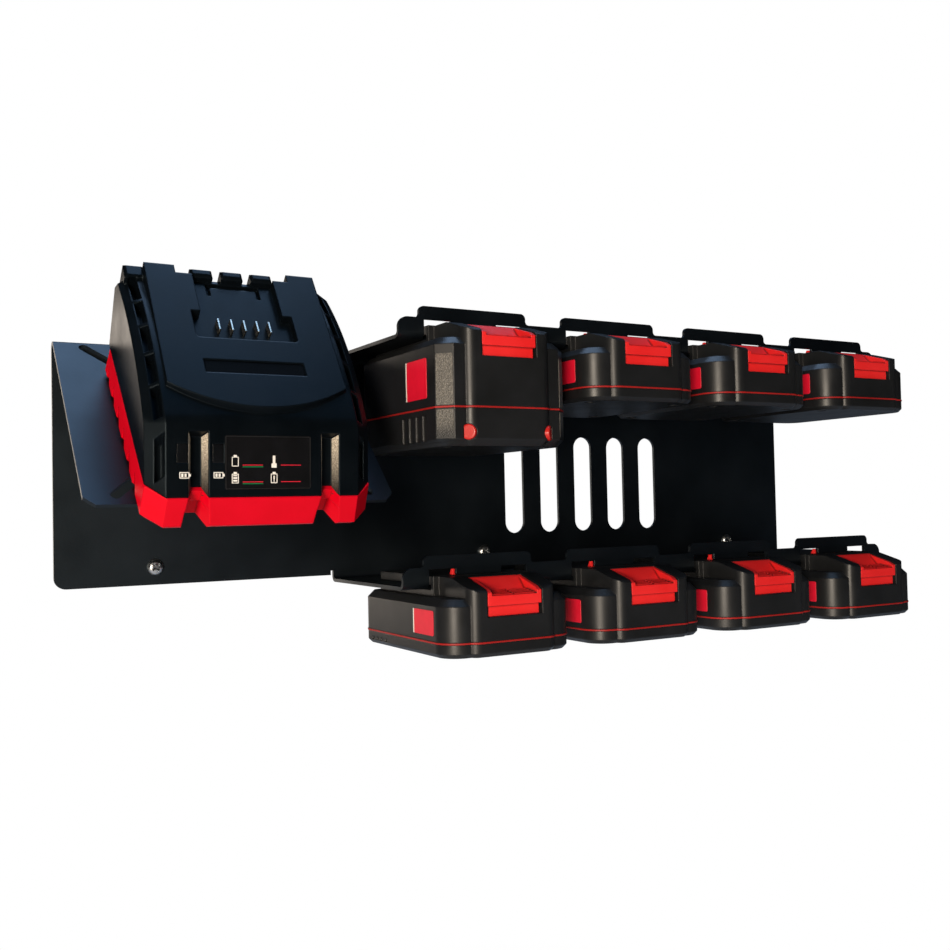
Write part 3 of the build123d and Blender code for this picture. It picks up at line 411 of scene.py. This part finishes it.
def plate(outline, thick, edge):
    """Thin plate: its outline carried up thick, drawn in by edge at the top, and closed with flat caps.

    The inward step moves each outline point towards the outline's centre by edge.
    """
    centre = outline.mean(0)
    out = outline - centre
    inner = centre + out * (1 - edge / np.linalg.norm(out, axis=1, keepdims=True))
    count = len(outline)
    rows = [np.column_stack([outline, np.zeros(count)]),
            np.column_stack([outline, np.full(count, thick - edge)]),
            np.column_stack([inner, np.full(count, thick)])]
    caps = [list(range(count))[::-1], list(range(2 * count, 3 * count))]
    return np.concatenate(rows), grid_faces(3, count) + caps


def placed(shape, origin, right, up):
    """Carry a shape's points onto a plane given by its origin, right and up directions."""
    axes = np.stack([right, up, np.cross(right, up)])
    return np.asarray(origin) + shape[0] @ axes, shape[1]


def joined(shapes):
    """Put several (points, faces) pairs into one pair."""
    points, faces, start = [], [], 0
    for some, loops in shapes:
        points.append(some)
        faces += [[i + start for i in loop] for loop in loops]
        start += len(some)
    return np.concatenate(points), faces


def soft_bar(across, along, width, length):
    """Share from 0 to 1 of a bar's depth: full in its middle, falling to nothing at its width and length."""
    side_slope, end_slope = 0.35 * width, 0.3 * length
    wide = np.clip((width - np.abs(across)) / side_slope, 0, 1)
    return wide * np.clip((length - np.abs(along)) / end_slope, 0, 1)


def cross_head(radius, height, blade, reach, depth, rings=25, spokes=96):
    """Pan head with a cross recess: its top falls with the fourth power of radius, less a tapered cross.

    The top falls to a quarter of its height at the rim, and the rings lie closer towards the rim. The
    cross is the deeper of two soft bars, each blade wide and reach long either way. The last ring drops
    to the seat, which is closed, and the middle is one point.
    """
    rim_fall, ring_power = 0.75, 0.8
    r = radius * (np.arange(1, rings + 1) / rings) ** ring_power
    a = np.linspace(0, -2 * math.pi, spokes, endpoint=False)
    rr, aa = np.meshgrid(r, a, indexing="ij")
    x, y = rr * np.cos(aa), rr * np.sin(aa)
    dome = height * (1 - rim_fall * (rr / radius) ** 4)
    z = dome - depth * np.maximum(soft_bar(x, y, blade, reach), soft_bar(y, x, blade, reach))
    rows = np.stack([x.ravel(), y.ravel(), z.ravel()], 1)
    seat = rows[-spokes:] * np.array([1, 1, 0])
    points = np.concatenate([rows, seat, [(0, 0, height - depth)]])
    middle = len(points) - 1
    spoke = np.arange(spokes)
    fan = np.stack([np.full(spokes, middle), (spoke + 1) % spokes, spoke], 1).tolist()
    return points, grid_faces(rings + 1, spokes) + fan + [list(range(middle - spokes, middle))]


def shank(radius, low, top, spokes=24):
    """Plain round shank from low up to top, closed at both ends."""
    a = np.linspace(0, 2 * math.pi, spokes, endpoint=False)
    ring = np.stack([radius * np.cos(a), radius * np.sin(a)], 1)
    rows = [np.column_stack([ring, np.full(spokes, z)]) for z in (low, top)]
    caps = [list(range(spokes))[::-1], list(range(spokes, 2 * spokes))]
    return np.concatenate(rows), grid_faces(2, spokes) + caps


# Wall screws in the back plate's holes, each turned a little further than the last
SCREW_TURN = math.radians(37)
wall_head = cross_head(radius=4.3, height=2.7, blade=0.75, reach=2.5, depth=1.6)
wall_screw = joined([wall_head, shank(radius=2.4, low=PLATE_FRONT, top=0.4)])
for number, (x, z) in enumerate(SCREW_PLACES, start=1):
    twist = SCREW_TURN * number
    right = math.cos(twist) * RIGHT + math.sin(twist) * UP
    up = math.cos(twist) * UP - math.sin(twist) * RIGHT
    piece(f"wall_screw_{number}", *placed(wall_screw, (x, PLATE_FRONT, z), right, up), ZINC, "root")

# Tongues hanging in the strap windows, which the batteries' hooks catch on
TONGUE_HALF = 13.8
TONGUE_LOW, TONGUE_HIGH = 4.9, 8.6
TONGUE_BACK = -92.15
tongue_outline = rounded_outline(2 * TONGUE_HALF, TONGUE_HIGH - TONGUE_LOW, radius=0.5)
tongue = plate(tongue_outline, thick=1.8, edge=0.1)
tongue_level = (TONGUE_LOW + TONGUE_HIGH) / 2
tongues = joined([placed(tongue, (x, TONGUE_BACK, z + tongue_level), RIGHT, UP) for x, z in SEATS])
piece("rack_strap_tongues", *tongues, COAT, "root")

# Side labels, bare, with a light bar at their rear edge
LABEL_PLACES = {"tall": ((-89.4, -111.4), (-34.6, -14.4)), "low": ((-92.4, -113.4), (-23.4, -11.0))}
LABEL_THICK, LABEL_EDGE = 0.22, 0.08
BAR_WIDTH, BAR_GAP = 0.9, 0.6
for number, (x, z) in enumerate(SEATS, start=1):
    body = f"battery_{number}"
    (back, front), (low, high) = LABEL_PLACES["tall" if number == 1 else "low"]
    film = plate(rounded_outline(back - front, high - low, radius=1.0), LABEL_THICK, LABEL_EDGE)
    bar = plate(rounded_outline(BAR_WIDTH, high - low, radius=0.3), LABEL_THICK, LABEL_EDGE)
    level = z + (low + high) / 2
    for side, word in ((-1, "left"), (1, "right")):
        face, right = x + side * PACK_HALF, (0, side, 0)
        label = placed(film, (face, (back + front) / 2, level), right, UP)
        light = placed(bar, (face, back + BAR_GAP, level), right, UP)
        piece(f"{body}_label_{word}", *label, FILM_RED, body)
        piece(f"{body}_label_bar_{word}", *light, FILM_WHITE, body)

# Speckled bevels on the tall battery's front corners, above and below its seam band
BEVEL_X, BEVEL_Y = 34.25, -123.5
BEVEL_WIDTH = 8.8
BEVEL_LEVELS = ((-13.5, -38.9), (-41.0, -54.6))
tall_x, tall_z = SEATS[0]
for side, word in ((-1, "left"), (1, "right")):
    right = np.array([1.0, side, 0.0]) / math.sqrt(2)
    panels = []
    for high, low in BEVEL_LEVELS:
        panel = plate(rounded_outline(BEVEL_WIDTH, high - low, radius=0.8), thick=0.25, edge=0.1)
        middle = (tall_x + side * BEVEL_X, BEVEL_Y, tall_z + (high + low) / 2)
        panels.append(placed(panel, middle, right, UP))
    piece(f"battery_1_speckled_bevel_{word}", *joined(panels), SPECKLE, "battery_1")

# Case screws, sunk in the round seats under each tray
CASE_SCREW_X = 29.0
CASE_SCREW_YS = (-38.0, -114.0)
CASE_SCREW_SINK = 1.0
case_screw = cross_head(radius=2.6, height=0.5, blade=0.5, reach=1.6, depth=0.4, rings=13, spokes=48)
for number, (x, z) in enumerate(SEATS, start=1):
    seat = z + (TALL_FLOOR if number == 1 else LOW_FLOOR) + CASE_SCREW_SINK
    spots = [(x + side * CASE_SCREW_X, y, seat) for side in (-1, 1) for y in CASE_SCREW_YS]
    heads = joined([placed(case_screw, spot, RIGHT, (0, -1, 0)) for spot in spots])
    piece(f"battery_{number}_case_screws", *heads, ZINC, f"battery_{number}")

# The charger's label face: its middle, and its up and outward directions
label_top, label_foot = on_charger(*LABEL_TOP), on_charger(*LABEL_FOOT)
label_middle = (label_top + label_foot) / 2
label_up = (label_top - label_foot) / np.linalg.norm(label_top - label_foot)
label_out = np.cross(RIGHT, label_up)

# Spark-eroded skins on the sloping walls of the label face's two grooves, a painted highlight on their black
# plastic
GROOVE_CENTER = 31.2
GROOVE_HALF, GROOVE_FLOOR_HALF = 4.6, 2.4
GROOVE_DEPTH = 5.0
GROOVE_TOP = 13.3
HIGHLIGHT_FOOT = -15.6
HIGHLIGHT_EDGE = 0.5
SKIN_THICK, SKIN_EDGE = 0.12, 0.04
fall = GROOVE_HALF - GROOVE_FLOOR_HALF
slant = math.hypot(fall, GROOVE_DEPTH)
near, far = HIGHLIGHT_EDGE, slant - HIGHLIGHT_EDGE
near_top, far_top = (GROOVE_TOP - fall + fall * s / slant - HIGHLIGHT_EDGE for s in (near, far))
wall = np.array([(near, HIGHLIGHT_FOOT), (far, HIGHLIGHT_FOOT), (far, far_top), (near, near_top)])
highlight_skins = []
for center in (-GROOVE_CENTER, GROOVE_CENTER):
    for side in (-1, 1):
        out = (fall * label_out - side * GROOVE_DEPTH * RIGHT) / slant
        foot = label_middle + (center + side * GROOVE_FLOOR_HALF) * RIGHT - GROOVE_DEPTH * label_out
        outline = wall if side > 0 else (wall * (-1, 1))[::-1]
        highlight_skins.append(placed(plate(outline, SKIN_THICK, SKIN_EDGE), foot, np.cross(label_up, out), label_up))
piece("charger_groove_painted_highlights", *joined(highlight_skins), PAINTED_GROOVE_HIGHLIGHT, "root")

# Bare plate in the deck's recess, which lies RECESS_DEPTH under the sloping deck
DECK_BACK, DECK_BACK_HEIGHT = 22.2, 62.0
DECK_FALL = 0.184
RECESS_AT, RECESS_DEPTH = 86.1, 0.7
RECESS_WIDTH, RECESS_LENGTH = 48.2, 7.9
recess_height = DECK_BACK_HEIGHT + DECK_FALL * (DECK_BACK - RECESS_AT) - RECESS_DEPTH
deck_up = (DECK_FALL * SLOPE_OUT - SLOPE_DOWN) / math.hypot(1, DECK_FALL)
bare_plate = plate(rounded_outline(RECESS_WIDTH, RECESS_LENGTH, radius=0.4), SKIN_THICK, SKIN_EDGE)
recess_middle = on_charger(RECESS_AT, recess_height)
piece("charger_bare_plate", *placed(bare_plate, recess_middle, RIGHT, deck_up), PLATE, "root")

# Legend on the label face: places are x right and y up from the face's middle
PANEL_X, PANEL_Y = 1.05, -0.6
PANEL_WIDTH, PANEL_HEIGHT = 41.0, 24.7
PANEL_THICK = 0.2
BORDER_INSET, BORDER_GAP, BORDER_LINE = 0.5, 1.2, 0.18
MARK_ROWS = (-0.2, -7.85)
MARK_COLUMNS = (-14.7, 3.5)
RULE_COLUMNS = (-6.5, 11.6)
RED_DROP, GREEN_DROP = 1.55, 2.35
LIGHT_MARKS = ((-37.5, -6.3), (-22.3, -6.3))


def on_label(shape, x, y, lift=0.0):
    """Place a flat shape on the label face, lifted off it."""
    return placed(shape, label_middle + x * RIGHT + y * label_up + lift * label_out, RIGHT, label_up)


def printed_bar(width, height, thick=0.1, edge=0.02):
    """Small printed bar, its corners rounded by 0.2 mm or as far as 0.4 of its shorter side."""
    return plate(rounded_outline(width, height, min(0.2, 0.4 * width, 0.4 * height), steps=4), thick, edge)


def printed(x, y, lift, bars):
    """Several printed bars around (x, y), each given by its offset, its width and its height."""
    return joined([on_label(printed_bar(w, h), x + dx, y + dy, lift) for dx, dy, w, h in bars])


# Marks drawn from bars: a cell, a full cell, a thermometer, a faulty cell and a lying cell for the lights
CELL = [(-1.4, 0, 0.35, 4.1), (1.4, 0, 0.35, 4.1), (0, -2.0, 3.1, 0.35), (0, 2.0, 3.1, 0.35),
        (0, 2.6, 1.5, 0.8)]
FULL_CELL = CELL + [(0, -0.95, 1.9, 0.8), (0, 0.25, 1.9, 0.8), (0, 1.3, 1.9, 0.5)]
HEAT = [(0, 0.8, 1.2, 4.0), (0, -1.75, 2.4, 2.0)]
FAULTY_CELL = CELL + [(0, 0.3, 0.6, 1.9), (0, -1.2, 0.6, 0.6)]
LYING_CELL = [(0, 1.2, 4.4, 0.4), (0, -1.2, 4.4, 0.4), (-2.0, 0, 0.4, 2.4), (2.0, 0, 0.4, 2.4),
              (2.5, 0, 0.7, 1.2), (-0.9, 0, 0.9, 1.5), (0.5, 0, 0.9, 1.5)]
RULE = [(0, 0, 9.6, 0.32)]

panel = plate(rounded_outline(PANEL_WIDTH, PANEL_HEIGHT, radius=1.2), PANEL_THICK, edge=0.06)
piece("charger_legend_panel", *on_label(panel, PANEL_X, PANEL_Y), FILM_BLACK, "root")
mark_places = [(x, y) for x in MARK_COLUMNS for y in MARK_ROWS]
marks = [printed(x, y, PANEL_THICK, mark)
         for (x, y), mark in zip(mark_places, (CELL, FULL_CELL, HEAT, FAULTY_CELL))]
piece("charger_legend_marks", *joined(marks), FILM_WHITE, "root")
line_x, line_y = PANEL_WIDTH / 2 - BORDER_INSET, PANEL_HEIGHT / 2 - BORDER_INSET
border = [(0, side * line_y, PANEL_WIDTH - BORDER_GAP, BORDER_LINE) for side in (1, -1)]
border += [(side * line_x, 0, BORDER_LINE, PANEL_HEIGHT - BORDER_GAP) for side in (1, -1)]
piece("charger_legend_border", *printed(PANEL_X, PANEL_Y, PANEL_THICK, border), FILM_GREY, "root")
red_rules = [printed(x, y - RED_DROP, PANEL_THICK, RULE) for x in RULE_COLUMNS for y in MARK_ROWS]
green_rules = [printed(RULE_COLUMNS[0], y - GREEN_DROP, PANEL_THICK, RULE) for y in MARK_ROWS]
piece("charger_legend_red_rules", *joined(red_rules), FILM_RED, "root")
piece("charger_legend_green_rules", *joined(green_rules), FILM_GREEN, "root")
light_marks = [printed(x, y, 0.0, LYING_CELL) for x, y in LIGHT_MARKS]
piece("charger_light_marks", *joined(light_marks), FILM_WHITE, "root")

# Camera at the photograph's place: it stands low at the left and looks slightly up
CAMERA_AT = Vector((-336.98, -578.09, -24.12)) * MM
YAW, PITCH, ROLL = (math.radians(a) for a in (29.922, 1.667, -1.238))
FOCAL_PX, FRAME_PX, SENSOR_MM = 1059.99, 950, 36.0
look = Vector((math.sin(YAW) * math.cos(PITCH), math.cos(YAW) * math.cos(PITCH), math.sin(PITCH)))
level_way = Vector((math.cos(YAW), -math.sin(YAW), 0))
above = level_way.cross(look)
side_way = level_way * math.cos(ROLL) + above * math.sin(ROLL)
up_way = above * math.cos(ROLL) - level_way * math.sin(ROLL)
lens = bpy.data.cameras.new("camera")
lens.sensor_width = SENSOR_MM
lens.lens = FOCAL_PX / FRAME_PX * SENSOR_MM
lens.clip_start = 0.01
camera = bpy.data.objects.new("camera", lens)
camera.matrix_world = Matrix.Translation(CAMERA_AT) @ Matrix((side_way, up_way, -look)).transposed().to_4x4()
bpy.context.scene.collection.objects.link(camera)
bpy.context.scene.camera = camera

# Studio: a pale floor that fades to white for the camera, a white background and soft lamps, in metres
FLOOR_LEVEL = -0.46
FLOOR_RADII = np.array([0.02, 0.3, 0.8, 1.6, 6.0])
FLOOR_SPOKES = 64
FLOOR_FADE = (0.3, 0.62)
ROOM_LIGHT = 0.025


def pale_floor():
    """Flat disc: rings of growing radius joined by quads, and a cap in the middle."""
    a = np.linspace(0, 2 * math.pi, FLOOR_SPOKES, endpoint=False)
    rr, aa = np.meshgrid(FLOOR_RADII, a, indexing="ij")
    points = np.stack([rr * np.cos(aa), rr * np.sin(aa), np.full_like(rr, FLOOR_LEVEL)], -1).reshape(-1, 3)
    faces = grid_faces(len(FLOOR_RADII), FLOOR_SPOKES) + [list(range(FLOOR_SPOKES))]
    mesh = bpy.data.meshes.new("floor")
    mesh.from_pydata(points.tolist(), [], faces)
    made = bpy.data.objects.new("floor", mesh)
    bpy.context.scene.collection.objects.link(made)
    mat, tree, place = begin("pale_floor")
    matt = put(tree, "ShaderNodeBsdfPrincipled", inputs={"Base Color": srgb("#f2f2f1"), "Roughness": 0.9})
    far = put(tree, "ShaderNodeVectorMath", {"operation": "LENGTH"}, {0: place}).outputs["Value"]
    fade = put(tree, "ShaderNodeMapRange", {"interpolation_type": "SMOOTHSTEP"}, {
        "Value": far, "From Min": FLOOR_FADE[0], "From Max": FLOOR_FADE[1]}).outputs["Result"]
    seen = put(tree, "ShaderNodeLightPath").outputs["Is Camera Ray"]
    share = put(tree, "ShaderNodeMath", {"operation": "MULTIPLY"}, {0: fade, 1: seen}).outputs["Value"]
    glow = put(tree, "ShaderNodeEmission", inputs={"Color": srgb(WHITE), "Strength": 1.0})
    both = put(tree, "ShaderNodeMixShader", inputs={
        0: share, 1: matt.outputs["BSDF"], 2: glow.outputs["Emission"]})
    put(tree, "ShaderNodeOutputMaterial", inputs={"Surface": both.outputs["Shader"]})
    mesh.materials.append(mat)


def lamp(name, place, aim, size, watts, code):
    """Area lamp of a width and height at a place in metres, turned towards its aim."""
    light = bpy.data.lights.new(name, "AREA")
    light.shape = "RECTANGLE"
    light.size, light.size_y = size
    light.energy = watts
    light.color = srgb(code)[:3]
    made = bpy.data.objects.new(name, light)
    made.location = place
    made.rotation_euler = (Vector(aim) - Vector(place)).to_track_quat("-Z", "Y").to_euler()
    bpy.context.scene.collection.objects.link(made)


def white_world():
    """World that is white to the camera and through clear things, and a dim room to the object."""
    world = bpy.data.worlds.new("studio")
    bpy.context.scene.world = world
    world.use_nodes = True
    tree = world.node_tree
    tree.nodes.clear()
    ways = put(tree, "ShaderNodeLightPath")
    dim = put(tree, "ShaderNodeBackground", inputs={"Color": srgb("#b9c6da"), "Strength": ROOM_LIGHT})
    white = put(tree, "ShaderNodeBackground", inputs={"Color": srgb(WHITE), "Strength": 1.0})
    seen = put(tree, "ShaderNodeMath", {"operation": "MAXIMUM"}, {
        0: ways.outputs["Is Camera Ray"], 1: ways.outputs["Is Transmission Ray"]}).outputs["Value"]
    mixed = put(tree, "ShaderNodeMixShader", inputs={
        0: seen, 1: dim.outputs["Background"], 2: white.outputs["Background"]})
    put(tree, "ShaderNodeOutputWorld", inputs={"Surface": mixed.outputs["Shader"]})


pale_floor()
lamp("key", (-1.25, -1.4, 0.05), (0, -0.05, 0), (0.5, 0.5), 38, "#fff0dc")
lamp("sky_front", (0.1, -0.6, 1.5), (0, -0.05, 0), (1.0, 1.0), 2.4, "#81c4ff")
lamp("sky_back", (0.1, 0.25, 1.5), (0, -0.05, 0), (1.0, 1.1), 16, "#a8c8f0")
lamp("card", (-0.55, 1.3, 0.07), (-0.1, -0.05, 0), (0.9, 0.55), 3.85, "#fff0e0")
white_world()
bpy.context.scene.view_settings.view_transform = "Standard"
